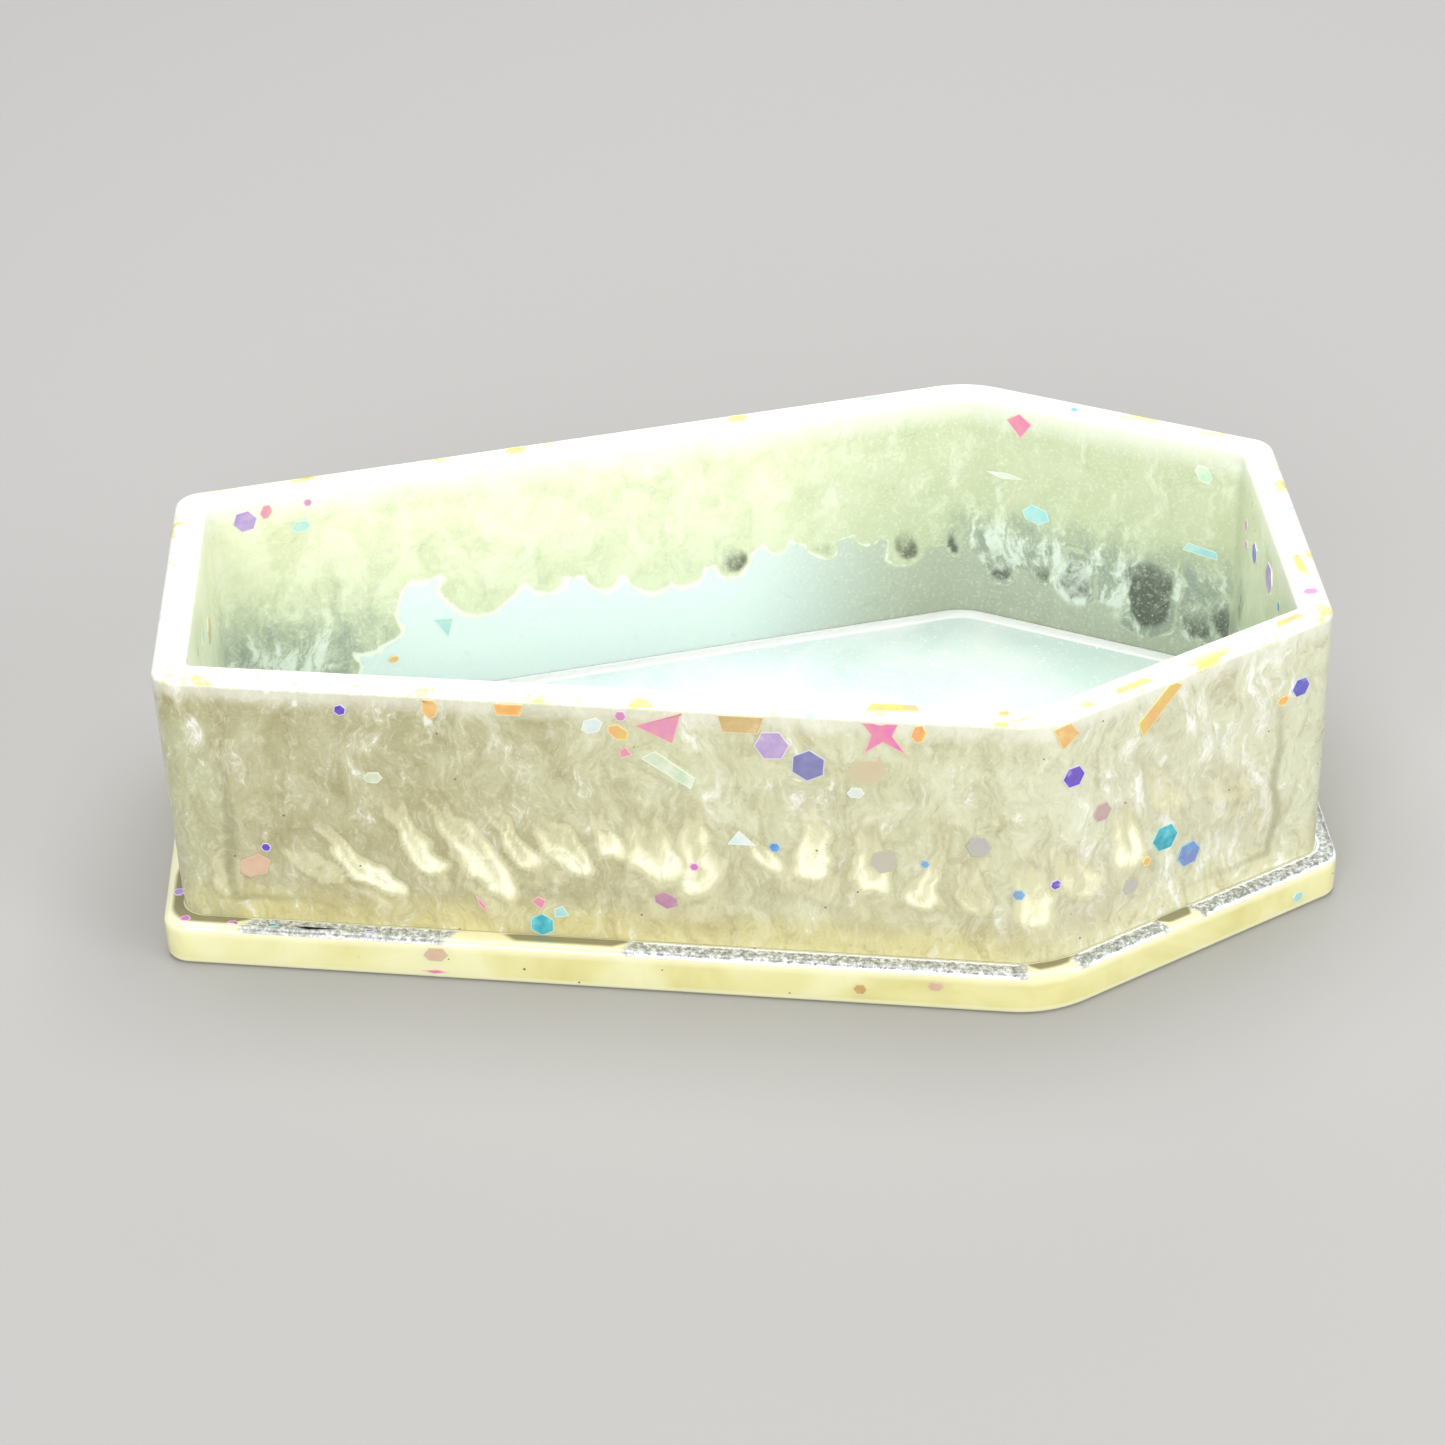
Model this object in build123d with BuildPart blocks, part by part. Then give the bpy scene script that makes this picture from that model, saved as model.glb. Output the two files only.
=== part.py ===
from build123d import *
import os
from math import hypot
from random import Random

# A small open box in the shape of a coffin, cast in resin with its rim downwards.
# Four pours make the body, and flakes of coloured film are set flush in their surfaces.
# Millimetres. +X points to the head end, +Z up, and z = 0 is the face that the box stands on.

# ---- Driving dimensions ------------------------------------------------------------------

RIM_LENGTH = 120.0
FOOT_WIDTH = 37.6
SHOULDER_WIDTH = 71.6
HEAD_WIDTH = 36.4
SHOULDER_X = 28.5           # the shoulders stand this far towards the head from the middle
HEIGHT = 33.3
WALL = 3.6                  # thickness of the walls at the rim
SIDE_FLARE = 1.0            # the four side walls stand this much further out at the step
END_TUCK = 0.4              # the two end walls stand this much further in at the step
CAVITY_DRAFT = 0.6          # the cavity is this much smaller all round at its floor

PLINTH_HEIGHT = 5.0
PLINTH_OUTSET = 2.1
SWIRL_TOP = 24.0            # the pearl swirl pour meets the rim pour here
FLOOR_BOTTOM = 3.4
FLOOR_TOP = 4.7
COVE = 0.8                  # height and width of the curve where the floor climbs the walls
COVE_LAND = 0.25            # flat top of that curve
COVE_RADIUS = 0.75

SHOULDER_RADIUS = 10.0
END_RADIUS = 2.8
INSIDE_END_RADIUS = 1.4
RIM_ROUND = 0.7
STEP_ROUND = 0.9
FOOT_ROUND = 0.6

FLAKE_THICKNESS = 0.25
FLAKE_REACH = 1.5           # how far a flake's outline is carried each way to meet its layer

# ---- Outline -----------------------------------------------------------------------------

LONG_SLOPE = (SHOULDER_WIDTH - FOOT_WIDTH) / 2 / (SHOULDER_X + RIM_LENGTH / 2)
SHORT_SLOPE = (HEAD_WIDTH - SHOULDER_WIDTH) / 2 / (RIM_LENGTH / 2 - SHOULDER_X)


def corners(side, end):
    """Six corners, anticlockwise from the front foot, with sides and ends moved out by side and end."""
    long_rise = side * hypot(1, LONG_SLOPE)
    short_rise = side * hypot(1, SHORT_SLOPE)
    foot_x = -RIM_LENGTH / 2 - end
    head_x = RIM_LENGTH / 2 + end
    shoulder_x = SHOULDER_X + (short_rise - long_rise) / (LONG_SLOPE - SHORT_SLOPE)
    foot_y = FOOT_WIDTH / 2 - LONG_SLOPE * end + long_rise
    shoulder_y = SHOULDER_WIDTH / 2 + LONG_SLOPE * (shoulder_x - SHOULDER_X) + long_rise
    head_y = HEAD_WIDTH / 2 + SHORT_SLOPE * end + short_rise
    front = [(foot_x, -foot_y), (shoulder_x, -shoulder_y), (head_x, -head_y)]
    return front + [(x, -y) for x, y in reversed(front)]


def outside_corners(z, inset=0):
    """Corners of the outside of the walls at height z, moved in by inset."""
    drop = (HEIGHT - z) / (HEIGHT - PLINTH_HEIGHT)
    return corners(SIDE_FLARE * drop - inset, -END_TUCK * drop - inset)


def inside_corners(z, inset=WALL):
    """Corners of the cavity at height z, where inset is its wall's thickness at the rim."""
    draft = CAVITY_DRAFT * (HEIGHT - z) / (HEIGHT - PLINTH_HEIGHT)
    return corners(-inset - draft, -inset - draft)


def plinth_corners(inset=0):
    """Corners of the upright faces of the plinth, moved in by inset."""
    return corners(SIDE_FLARE + PLINTH_OUTSET - inset, PLINTH_OUTSET - END_TUCK - inset)


def outline(points, z, shoulder_radius, end_radius):
    """Face of a six-sided outline at height z, with its corners rounded."""
    with BuildSketch(Plane.XY.offset(z)) as sketch:
        with BuildLine():
            Polyline(*points, close=True)
        make_face()
        fillet(sketch.vertices().group_by(Axis.X)[1], shoulder_radius)
        columns = sketch.vertices().group_by(Axis.X)
        fillet(columns[0] + columns[-1], end_radius)
    return sketch.sketch


def outside_outline(z, inset=0):
    """Outline of the outside of the walls at height z."""
    return outline(outside_corners(z, inset), z, SHOULDER_RADIUS - inset, END_RADIUS - inset)


def inside_outline(z, inset=WALL):
    """Outline of the cavity at height z."""
    end_radius = INSIDE_END_RADIUS + WALL - inset
    return outline(inside_corners(z, inset), z, SHOULDER_RADIUS - inset, end_radius)


def plinth_outline(z, inset=0):
    """Outline of the plinth at height z."""
    shoulder_radius = SHOULDER_RADIUS + PLINTH_OUTSET - inset
    return outline(plinth_corners(inset), z, shoulder_radius, END_RADIUS - inset)


# ---- Surfaces that carry flakes ----------------------------------------------------------
# Each has a plane, whose x runs along the surface and y up it, and a thin layer of the body
# just under it, which a flake's outline is cut out of.

WALL_NAMES = ["front", "front_shoulder", "head", "back_shoulder", "back", "foot"]
INSIDE_NAMES = ["back", "back_shoulder", "head", "front_shoulder", "front", "foot"]
FLAT_TOP = HEIGHT - RIM_ROUND
COVE_TOP = FLOOR_TOP + COVE


def layer(outer_low, outer_high, inner_low, inner_high):
    """Ring between an outer and an inner solid, each lofted from a low and a high outline."""
    with BuildPart() as ring:
        loft([outer_low, outer_high], ruled=True)
        loft([inner_low, inner_high], ruled=True, mode=Mode.SUBTRACT)
    return ring.part


def add_walls(prefix, names, low, high, low_z, high_z, skin):
    """Add the planes of six walls, each from a low edge and the high corner above its start."""
    for index, name in enumerate(names):
        start = Vector(*low[index], low_z)
        along = Vector(*low[(index + 1) % len(low)], low_z) - start
        rise = Vector(*high[index], high_z) - start
        planes[prefix + name] = Plane(origin=start, x_dir=along, z_dir=along.cross(rise))
        lengths[prefix + name] = along.length
        layers[prefix + name] = skin


planes = {"rim": Plane.XY.offset(HEIGHT), "step": Plane.XY.offset(PLINTH_HEIGHT)}
lengths = {}
layers = {
    "rim": layer(
        outside_outline(HEIGHT - FLAKE_THICKNESS, RIM_ROUND),
        outside_outline(HEIGHT, RIM_ROUND),
        inside_outline(HEIGHT - FLAKE_THICKNESS, WALL - RIM_ROUND),
        inside_outline(HEIGHT, WALL - RIM_ROUND),
    ),
    "step": layer(
        plinth_outline(PLINTH_HEIGHT - FLAKE_THICKNESS, STEP_ROUND),
        plinth_outline(PLINTH_HEIGHT, STEP_ROUND),
        outside_outline(PLINTH_HEIGHT - FLAKE_THICKNESS),
        outside_outline(PLINTH_HEIGHT),
    ),
}
add_walls(
    "", WALL_NAMES, outside_corners(PLINTH_HEIGHT), outside_corners(HEIGHT), PLINTH_HEIGHT, HEIGHT,
    layer(
        outside_outline(PLINTH_HEIGHT),
        outside_outline(FLAT_TOP),
        outside_outline(PLINTH_HEIGHT, FLAKE_THICKNESS),
        outside_outline(FLAT_TOP, FLAKE_THICKNESS),
    ),
)
# Seen from inside the cavity, the walls run the other way round.
add_walls(
    "inside_", INSIDE_NAMES, inside_corners(PLINTH_HEIGHT)[::-1], inside_corners(HEIGHT)[::-1],
    PLINTH_HEIGHT, HEIGHT,
    layer(
        inside_outline(COVE_TOP, WALL - FLAKE_THICKNESS),
        inside_outline(FLAT_TOP, WALL - FLAKE_THICKNESS),
        inside_outline(COVE_TOP),
        inside_outline(FLAT_TOP),
    ),
)
add_walls(
    "plinth_", WALL_NAMES, plinth_corners(), plinth_corners(), 0, PLINTH_HEIGHT,
    layer(
        plinth_outline(FOOT_ROUND),
        plinth_outline(PLINTH_HEIGHT - STEP_ROUND),
        plinth_outline(FOOT_ROUND, FLAKE_THICKNESS),
        plinth_outline(PLINTH_HEIGHT - STEP_ROUND, FLAKE_THICKNESS),
    ),
)

# ---- Film flakes -------------------------------------------------------------------------
# Punched hexagons, sized across their flats, and hand-cut shards, sized by their length.
# A shard's corners are given for a length of 1.

SHARD_CORNERS = {
    "triangle": [(-0.6, 0), (0.42, 0.36), (0.22, -0.4)],
    "trapezoid": [(-0.5, 0.24), (0.5, 0.24), (0.36, -0.22), (-0.4, -0.22)],
    "chip": [(-0.5, -0.05), (-0.25, 0.3), (0.3, 0.32), (0.5, 0), (0.2, -0.32), (-0.3, -0.3)],
    "kite": [(-0.42, 0.12), (0.02, 0.4), (0.44, 0.1), (0.08, -0.46)],
    "blade": [(-0.5, -0.13), (-0.4, 0.14), (0.42, 0.16), (0.5, -0.06)],
    "sliver": [(-0.5, 0.03), (0.1, 0.1), (0.5, 0), (-0.05, -0.1)],
    "splinter": [
        (-0.5, 0.4), (-0.05, 0.3), (0.35, 0.42), (0.2, 0.05), (0.5, -0.4), (0, -0.12), (-0.4, -0.42), (-0.25, 0.05),
    ],
}

# Each flake is its surface, how far along and up it the flake lies, its cut, size and turn.
flakes = {
    "lilac_hexes": [
        ("front", 62.3, 24.4, "hexagon", 3.1, 4),
        ("inside_back", 3.4, 25.6, "hexagon", 2.4, 10),
        ("step", -60.2, -16, "hexagon", 1.1, 0),
    ],
    "indigo_hexes": [
        ("front", 65.9, 22.3, "hexagon", 3.2, 26),
        ("front_shoulder", 32.1, 21.2, "hexagon", 2.1, 0),
        ("step", -40, -25.1, "hexagon", 1.1, 0),
    ],
    "violet_hexes": [
        ("front_shoulder", 3.4, 21.3, "hexagon", 2.3, 0),
        ("front", 18.9, 25.9, "hexagon", 1.2, 20),
        ("front", 9.8, 8.9, "hexagon", 1, 0),
        ("front_shoulder", 1.4, 9.1, "hexagon", 1.1, 12),
    ],
    "teal_hexes": [
        ("front", 38.2, 1.3, "hexagon", 2.4, 28),
        ("front_shoulder", 14.9, 9.6, "hexagon", 2.9, 0),
        ("step", -50, -23.1, "hexagon", 1.1, 30),
    ],
    "blue_hexes": [
        ("front_shoulder", 18, 6.4, "hexagon", 2.7, 6),
        ("front", 62.4, 12.4, "hexagon", 1.1, 0),
        ("front", 77.5, 11.4, "hexagon", 0.9, 0),
        ("front", 86.9, 8.3, "hexagon", 1.2, 0),
        ("rim", 39.5, 27.3, "hexagon", 0.9, 0),
    ],
    "silver_hexes": [
        ("front", 82.8, 13.8, "hexagon", 2.3, 0),
        ("front", 73.4, 11.4, "hexagon", 2.5, 15),
        ("front_shoulder", 10.6, 5.4, "hexagon", 1.8, 0),
    ],
    "mauve_hexes": [
        ("front_shoulder", 6.9, 15.8, "hexagon", 2, 0),
        ("front", 51.2, 5.2, "chip", 2.8, -30),
    ],
    "magenta_hexes": [
        ("front", 47.3, 26.9, "hexagon", 1.1, 0),
        ("front", 54.2, 9.5, "hexagon", 0.9, 0),
        ("inside_back", 10.4, 26.8, "hexagon", 0.9, 0),
        ("step", -59.2, -20.8, "hexagon", 1, 0),
        ("step", -54.3, -22.2, "hexagon", 1.1, 0),
    ],
    "coral_chips": [
        ("front", 71.7, 21.9, "chip", 4.2, 0),
        ("front", 8.4, 6.5, "chip", 3.8, 25),
        ("plinth_front", 29, 3.2, "chip", 2.6, 0),
        ("plinth_front", 80.6, 3, "chip", 1.6, 0),
    ],
    "pink_shards": [
        ("front", 51.4, 25.9, "triangle", 4.8, 0),
        ("front", 73.3, 26, "splinter", 4.8, 0),
        ("front", 47.6, 22.6, "kite", 1.7, 70),
        ("front", 38, 4, "kite", 1.9, 10),
        ("front", 32, 3.4, "sliver", 2.6, -60),
        ("inside_back", 5.8, 26.4, "chip", 1.9, 60),
        ("inside_back_shoulder", 6.2, 25.8, "kite", 3.6, 0),
        ("plinth_front", 28.8, 1, "sliver", 2.8, 0),
        ("rim", 58.2, -13.6, "chip", 1.8, 0),
    ],
    "orange_shards": [
        ("front", 28.1, 26.7, "chip", 2.6, 80),
        ("front", 36.1, 27, "trapezoid", 3.2, 0),
        ("front_shoulder", 2.4, 26.4, "kite", 3.6, -20),
        ("inside_back", 18.1, 5.4, "chip", 1.3, 0),
        ("rim", 45, 25, "sliver", 1.8, -29),
    ],
    "amber_shards": [
        ("front", 59.3, 26.7, "trapezoid", 4.8, 0),
        ("plinth_front", 72.9, 2.1, "hexagon", 1.3, 0),
    ],
    "yellow_shards": [
        ("front", 47, 25, "chip", 2.4, -40),
        ("front", 76.8, 26.6, "chip", 2.2, 70),
        ("front_shoulder", 13.9, 25.4, "blade", 6.6, 38),
        ("front_shoulder", 12.6, 7.6, "hexagon", 1, 0),
        ("front_shoulder", 29.8, 20.4, "chip", 1.6, 0),
        ("rim", -22.9, 24.7, "chip", 2.6, 11),
        ("rim", 1.9, 29.3, "chip", 2.6, 11),
        ("rim", 13.7, -31.2, "blade", 5.4, -11),
        ("rim", 24.4, -33.1, "chip", 1.4, 0),
        ("rim", 37.6, -29.6, "blade", 4.6, 29),
        ("rim", 58.2, -8, "blade", 3.8, 90),
        ("rim", 55, -18.9, "blade", 3.6, 29),
    ],
    "mint_shards": [
        ("front", 52, 20.9, "blade", 6, -38),
        ("front", 21.7, 18.1, "chip", 2, 0),
        ("step", -46.6, -23.8, "sliver", 2.2, -11),
        ("inside_back_shoulder", 4.6, 19, "sliver", 4.4, 0),
        ("inside_back_shoulder", 28.2, 24.4, "chip", 2.6, -60),
    ],
    "opal_shards": [
        ("front", 44.4, 25.6, "chip", 2.4, 20),
        ("front", 70.6, 19.4, "chip", 1.8, 0),
        ("front", 59, 13, "triangle", 2.6, 160),
        ("rim", -35, -23, "blade", 3.2, -11),
        ("rim", -58.2, 4, "blade", 3.4, 90),
    ],
    "cyan_shards": [
        ("front", 40.2, 2.9, "kite", 2, 60),
        ("inside_back", 24.2, 8.8, "triangle", 2.9, 100),
        ("inside_back", 9.4, 24, "chip", 2.2, 0),
        ("inside_back_shoulder", 8.6, 14.8, "chip", 3.4, -15),
        ("inside_back_shoulder", 28.4, 14.6, "blade", 4.2, -10),
        ("rim", -13.5, 26.4, "blade", 2.8, 11),
        ("rim", 17.6, 32.3, "blade", 3.4, 11),
        ("plinth_front_shoulder", 32, 1.8, "hexagon", 1.2, 0),
    ],
}

# The walls that no flake was placed on by hand get the same mixture at random: the smallest
# and largest size of each kind, and how many flakes lie on each surface.
SCATTER_CUTS = {
    "lilac_hexes": ("hexagon", 2.2, 3.2),
    "indigo_hexes": ("hexagon", 2, 3.2),
    "violet_hexes": ("hexagon", 1, 2.4),
    "teal_hexes": ("hexagon", 1.2, 2.8),
    "blue_hexes": ("hexagon", 0.9, 2.6),
    "silver_hexes": ("hexagon", 1.6, 2.4),
    "mauve_hexes": ("hexagon", 1.2, 2.2),
    "magenta_hexes": ("hexagon", 0.9, 1.6),
    "coral_chips": ("chip", 2, 4),
    "pink_shards": ("triangle", 2.4, 4.8),
    "orange_shards": ("kite", 2.2, 3.6),
    "amber_shards": ("trapezoid", 2.4, 4.6),
    "yellow_shards": ("blade", 3, 6),
    "mint_shards": ("sliver", 3, 5.5),
    "opal_shards": ("blade", 3, 5),
    "cyan_shards": ("triangle", 2, 3.4),
}
SCATTER_COUNTS = {
    "back": 22, "back_shoulder": 9, "head": 9, "foot": 8,
    "inside_front": 14, "inside_front_shoulder": 6, "inside_head": 6, "inside_foot": 5,
    "plinth_back": 6, "plinth_back_shoulder": 3, "plinth_head": 3, "plinth_foot": 3,
}
EDGE_MARGIN = 4.5           # scattered flakes keep their middle this far from a wall's ends
GAP = 0.5                   # least clear space between two flakes


def scatter(seed):
    """Spread flakes over the surfaces in SCATTER_COUNTS, with none on top of another."""
    random = Random(seed)
    for surface, count in SCATTER_COUNTS.items():
        low, high = (1.4, 3) if surface.startswith("plinth") else (3, 24)
        taken = []
        while len(taken) < count:
            node = random.choice(list(SCATTER_CUTS))
            cut, least, most = SCATTER_CUTS[node]
            size = 1.2 if surface.startswith("plinth") else random.uniform(least, most)
            along = random.uniform(EDGE_MARGIN, lengths[surface] - EDGE_MARGIN)
            up = random.triangular(low, high, high)
            turn = random.uniform(0, 180)
            if all(hypot(along - a, up - u) > (size + s) * 0.6 + GAP for a, u, s in taken):
                taken.append((along, up, size))
                flakes[node].append((surface, along, up, cut, size, turn))


def cut_flake(surface, along, up, cut, size, turn):
    """One flake, lying in the layer just under its surface."""
    with BuildPart() as flake:
        with BuildSketch(planes[surface]):
            with Locations(Location((along, up, 0), (0, 0, turn))):
                if cut == "hexagon":
                    RegularPolygon(size / 2, 6, major_radius=False)
                else:
                    Polygon(*[(x * size, y * size) for x, y in SHARD_CORNERS[cut]], align=None)
        extrude(amount=FLAKE_REACH, both=True)
        add(layers[surface], mode=Mode.INTERSECT)
    return flake.part


scatter(seed=7)
os.makedirs("parts", exist_ok=True)
all_flakes = []
for node, members in flakes.items():
    with BuildPart() as group:
        add([cut_flake(*member) for member in members])
    group.part.label = node
    export_step(group.part, f"parts/{node}.step")
    all_flakes += group.part.solids()

# ---- Pours, in the order they are cast: rim, swirl, floor, plinth --------------------------

with BuildPart() as rim_pour:
    loft([outside_outline(SWIRL_TOP), outside_outline(HEIGHT)], ruled=True)
    loft([inside_outline(SWIRL_TOP), inside_outline(HEIGHT)], ruled=True, mode=Mode.SUBTRACT)
    fillet(rim_pour.edges().group_by(Axis.Z)[-1], RIM_ROUND)
    add(all_flakes, mode=Mode.SUBTRACT)
rim_pour.part.label = "rim_pour"
export_step(rim_pour.part, "parts/rim_pour.step")

with BuildPart() as swirl_pour:
    loft([outside_outline(PLINTH_HEIGHT), outside_outline(SWIRL_TOP)], ruled=True)
    loft([inside_outline(PLINTH_HEIGHT), inside_outline(SWIRL_TOP)], ruled=True, mode=Mode.SUBTRACT)
    add(all_flakes, mode=Mode.SUBTRACT)
swirl_pour.part.label = "swirl_pour"
export_step(swirl_pour.part, "parts/swirl_pour.step")

# The floor climbs the walls in a small cove, as resin does where it sets against a wall.
with BuildPart() as floor_pour:
    loft([inside_outline(FLOOR_BOTTOM), inside_outline(COVE_TOP)], ruled=True)
    extrude(inside_outline(FLOOR_TOP, WALL + COVE_LAND), amount=COVE, mode=Mode.SUBTRACT)
    fillet(floor_pour.edges().filter_by_position(Axis.Z, FLOOR_TOP, FLOOR_TOP), COVE_RADIUS)
floor_pour.part.label = "floor_pour"
export_step(floor_pour.part, "parts/floor_pour.step")

with BuildPart() as plinth_pour:
    extrude(plinth_outline(0), amount=PLINTH_HEIGHT)
    fillet(plinth_pour.edges().group_by(Axis.Z)[-1], STEP_ROUND)
    fillet(plinth_pour.edges().group_by(Axis.Z)[0], FOOT_ROUND)
    loft([inside_outline(FLOOR_BOTTOM), inside_outline(PLINTH_HEIGHT)], ruled=True, mode=Mode.SUBTRACT)
    add(all_flakes, mode=Mode.SUBTRACT)
plinth_pour.part.label = "plinth_pour"
export_step(plinth_pour.part, "parts/plinth_pour.step")
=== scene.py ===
# %% [markdown]
# # A coffin-shaped trinket box, cast in pearl resin
# The box was cast upside down in a silicone mould: a clear rim pour with chunky film flakes,
# then resin stirred with pearl mica, a pale floor and a clear amber plinth. The CAD model fixes
# every size. Here the walls and the plinth become fine meshes that carry patterns of their own,
# the flakes get a border, and every piece gets the finish of its own resin or film.

# %% Load the frame
import math

import bmesh
import bpy
import numpy as np
from mathutils import Matrix, Vector


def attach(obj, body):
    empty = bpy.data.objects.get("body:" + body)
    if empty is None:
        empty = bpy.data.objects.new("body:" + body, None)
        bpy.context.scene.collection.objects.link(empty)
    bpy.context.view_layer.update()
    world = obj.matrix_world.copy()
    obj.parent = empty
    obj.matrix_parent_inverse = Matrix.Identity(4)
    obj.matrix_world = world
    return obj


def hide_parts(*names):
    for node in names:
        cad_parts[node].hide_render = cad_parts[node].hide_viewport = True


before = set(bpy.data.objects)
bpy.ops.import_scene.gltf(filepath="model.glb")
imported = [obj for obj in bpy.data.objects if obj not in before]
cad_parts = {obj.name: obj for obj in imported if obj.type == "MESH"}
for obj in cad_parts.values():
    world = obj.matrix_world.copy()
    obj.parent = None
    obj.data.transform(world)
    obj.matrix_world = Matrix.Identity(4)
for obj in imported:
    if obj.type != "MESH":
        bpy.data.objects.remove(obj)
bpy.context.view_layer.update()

MM = 0.001
print("nodes:", len(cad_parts))

# %% [markdown]
# ## Camera
# The box is seen from a little above and almost square to its long side, with a long lens, so
# that the far rim is only slightly smaller than the near one. The camera is placed by its
# azimuth, elevation and roll round a point it aims at.

# %% Camera
AIM = Vector((-1.93, 0.1, 11.97)) * MM
AZIMUTH, ELEVATION, ROLL = (math.radians(angle) for angle in (-1.97, 33.51, -1.97))
DISTANCE = 385.2 * MM
LENS, SENSOR = 88.65, 36.0

camera = bpy.data.objects.new("camera", bpy.data.cameras.new("camera"))
bpy.context.collection.objects.link(camera)
camera.data.lens = LENS
camera.data.sensor_width = SENSOR
turn = Matrix.Rotation(AZIMUTH, 4, "Z") @ Matrix.Rotation(math.pi / 2 - ELEVATION, 4, "X")
camera.matrix_world = Matrix.Translation(AIM) @ turn @ Matrix.Rotation(ROLL, 4, "Z")
camera.location = AIM + turn.to_3x3() @ Vector((0, 0, DISTANCE))
bpy.context.scene.camera = camera
print("camera at", [round(c / MM) for c in camera.location], "mm")

# %% [markdown]
# ## Colours and nodes
# Colours are written as sRGB hex values, as a paint chart gives them, and turned to the linear
# values that shaders use. One helper adds a node with its settings and links, and another lays
# colours over each other.


# %% Helpers for colours and nodes
def linear(code):
    """Linear colour of an sRGB hex code: each part to the power 2.4, or over 12.92 near black."""
    parts = [int(code[i : i + 2], 16) / 255 for i in (1, 3, 5)]
    return [p / 12.92 if p <= 0.04045 else ((p + 0.055) / 1.055) ** 2.4 for p in parts] + [1.0]


def add(tree, kind, inputs=None, stops=None, **settings):
    """Add a node. Inputs maps a socket to a value, to a node or to one output of a node."""
    made = tree.nodes.new("ShaderNode" + kind)
    for name, value in settings.items():
        setattr(made, name, value)
    for socket, value in (inputs or {}).items():
        if isinstance(value, bpy.types.Node):
            value = next(output for output in value.outputs if output.enabled)
        if isinstance(value, bpy.types.NodeSocket):
            tree.links.new(value, made.inputs[socket])
        else:
            made.inputs[socket].default_value = value
    for index, (position, colour) in enumerate(stops or []):
        ramp = made.color_ramp.elements
        stop = ramp[index] if index < 2 else ramp.new(position)
        stop.position = position
        stop.color = linear(colour)
    return made


def new_material(name):
    """An empty material and its node tree."""
    material = bpy.data.materials.new(name)
    material.use_nodes = True
    material.node_tree.nodes.clear()
    return material, material.node_tree


def paint(tree, under, layers):
    """Lay colours over each other: each covers up to most of what is under it where its field
    passes from low to high."""
    for field, low, high, most, colour in layers:
        span = {0: field, 1: low, 2: high, 4: most}
        amount = add(tree, "MapRange", span, interpolation_type="SMOOTHSTEP")
        over = linear(colour) if isinstance(colour, str) else colour
        under = add(tree, "Mix", {0: amount, 6: under, 7: over}, data_type="RGBA")
    return under


# %% [markdown]
# ## Studio
# A plain pale floor shows nothing but a soft shadow. Resin shows its depth only when light comes
# from several sides, so a large soft panel hangs overhead, two stand in front and to the side,
# and a weak one behind lifts the far walls.

# %% Floor and lights
REACH = 1.5                 # from the middle of the floor to its sides, in metres
SKY = 0.34                  # strength of the even light from all round
floor_mesh = bpy.data.meshes.new("floor")
floor_corners = [(-REACH, -REACH, 0), (REACH, -REACH, 0), (REACH, REACH, 0), (-REACH, REACH, 0)]
floor_mesh.from_pydata(floor_corners, [], [(0, 1, 2, 3)])
floor = bpy.data.objects.new("studio_floor", floor_mesh)
bpy.context.collection.objects.link(floor)
floor_material, tree = new_material("pale_studio_card")
shader = add(tree, "BsdfPrincipled", {"Base Color": linear("#A9A8A6"), "Roughness": 0.85})
add(tree, "OutputMaterial", {0: shader})
floor_mesh.materials.append(floor_material)

# Name, place, size and power of each soft panel, in metres and watts. All face the box.
PANELS = [
    ("overhead", (0.0, 0.12, 0.75), 0.7, 6.5),
    ("front", (-0.25, -0.85, 0.42), 0.6, 5.7),
    ("side", (0.75, -0.45, 0.35), 0.5, 3.0),
    ("back", (0.15, 0.85, 0.35), 0.5, 1.5),
]
for name, place, size, power in PANELS:
    lamp = bpy.data.objects.new(name, bpy.data.lights.new(name, "AREA"))
    lamp.data.size = size
    lamp.data.energy = power
    lamp.location = place
    lamp.rotation_euler = (AIM - lamp.location).to_track_quat("-Z", "Y").to_euler()
    bpy.context.collection.objects.link(lamp)

world = bpy.data.worlds.new("studio")
world.use_nodes = True
sky = world.node_tree.nodes["Background"]
sky.inputs["Color"].default_value = linear("#F4F5F7")
sky.inputs["Strength"].default_value = SKY
bpy.context.scene.world = world
bpy.context.scene.view_settings.view_transform = "Standard"
print("panels:", ", ".join(panel[0] for panel in PANELS))

# %% [markdown]
# ## The outline of the box
# Every wall is a slice of one six-sided outline with rounded corners. Moving its four sides and
# two ends in or out gives the outline at any height and depth, always with the same number of
# points, so a wall is a grid: once round the box, and once round its own section.

# %% Outline as arrays
RIM_LENGTH, SHOULDER_X = 120.0, 28.5
FOOT_WIDTH, SHOULDER_WIDTH, HEAD_WIDTH = 37.6, 71.6, 36.4
HEIGHT, STEP, WALL = 33.3, 5.0, 3.6
SIDE_FLARE, END_TUCK, CAVITY_DRAFT = 1.0, 0.4, 0.6
SHOULDER_RADIUS, END_RADIUS, INSIDE_END_RADIUS, RIM_ROUND = 10.0, 2.8, 1.4, 0.7
SWIRL_TOP = 24.0
SPACING = 0.4               # distance between mesh points along the walls, in mm
ARC_STEPS = 10              # mesh steps round each corner of the outline

foot_x, head_x = -RIM_LENGTH / 2, RIM_LENGTH / 2
long_slope = (SHOULDER_WIDTH - FOOT_WIDTH) / 2 / (SHOULDER_X - foot_x)
short_slope = (HEAD_WIDTH - SHOULDER_WIDTH) / 2 / (head_x - SHOULDER_X)


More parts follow.
